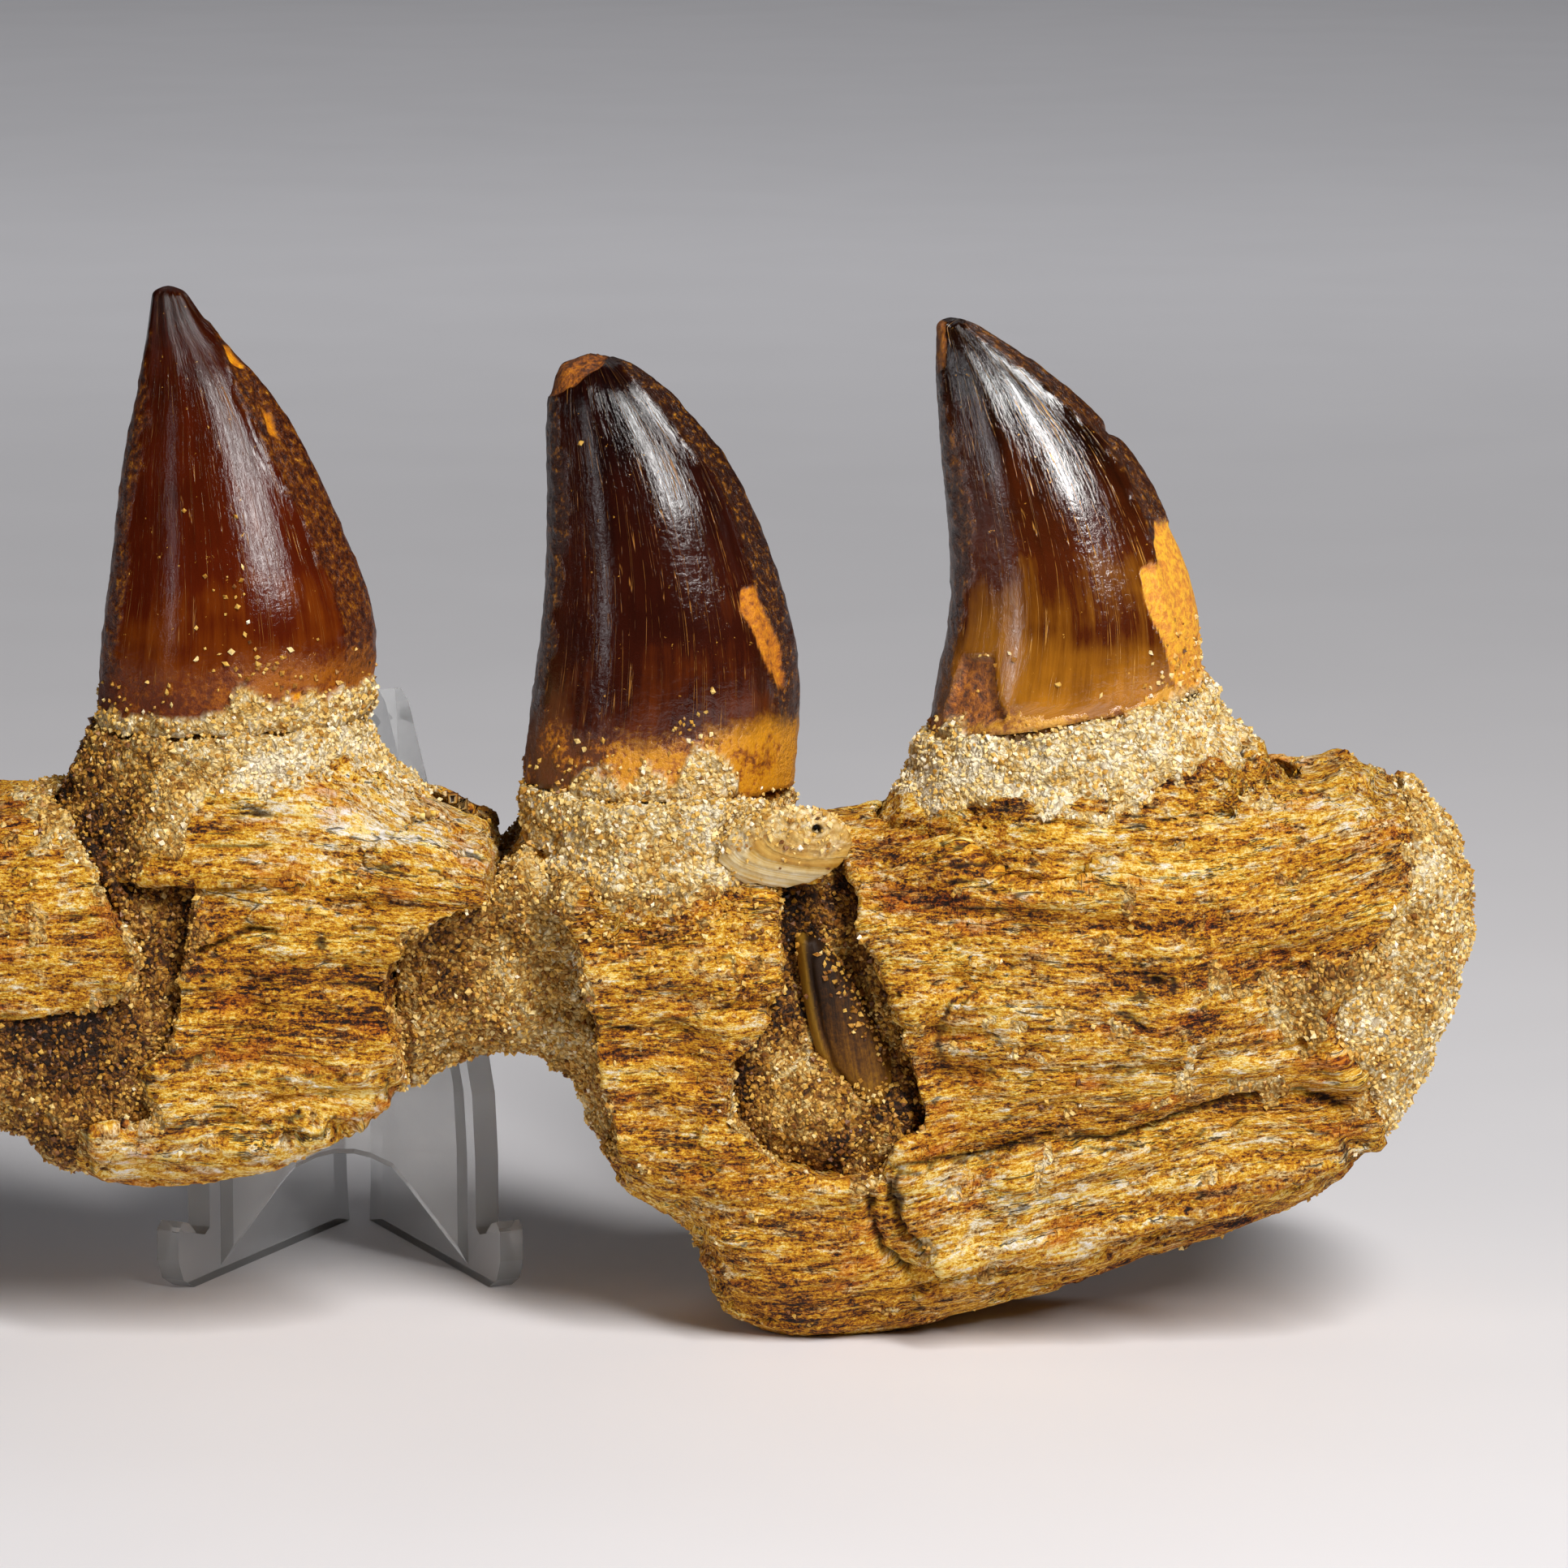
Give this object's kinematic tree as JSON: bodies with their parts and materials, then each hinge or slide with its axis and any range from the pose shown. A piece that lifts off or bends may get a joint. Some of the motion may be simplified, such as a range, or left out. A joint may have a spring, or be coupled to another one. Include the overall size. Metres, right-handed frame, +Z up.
{
  "type": "fossil mosasaur jaw with tooth",
  "caption": "Broken piece of fossil mosasaur jaw in sandy matrix with curved enamel teeth, standing on its lower lobe and leaning on a small clear display easel.",
  "frame": {"origin": "middle of the footprint box of the whole thing, on the surface it stands on", "axes": "+X along the jaw towards its right end, +Y to the back where the easel stands, +Z up"},
  "size_m": [0.1534, 0.0554, 0.0966],
  "materials": {
    "jaw_bone": "fibrous broken bone, matt, ochre with cream and dark brown streaks",
    "sandy_matrix": "coarse cemented sand, matt",
    "tooth_base": "sand-crusted bone of attachment, matt",
    "tooth_enamel": "glossy red-brown enamel with fine lengthwise wrinkles",
    "embedded_tooth": "dull striated enamel",
    "shell": "satin, with fine growth lines",
    "clear_plastic": "clear moulded, polished"
  },
  "bodies": {
    "root": {"jaw_bone_left": "jaw_bone", "jaw_bone_right": "jaw_bone", "matrix_valley": "sandy_matrix", "matrix_bridge": "sandy_matrix", "matrix_pocket": "sandy_matrix", "matrix_right_end": "sandy_matrix", "tooth_left_base": "tooth_base", "tooth_middle_base": "tooth_base", "tooth_right_base": "tooth_base", "tooth_left_crown": "tooth_enamel", "tooth_middle_crown": "tooth_enamel", "tooth_right_crown": "tooth_enamel", "embedded_tooth": "embedded_tooth", "shell_fragment": "shell", "easel_left_side": "clear_plastic", "easel_right_side": "clear_plastic", "easel_web": "clear_plastic"}
  },
  "joints": []
}
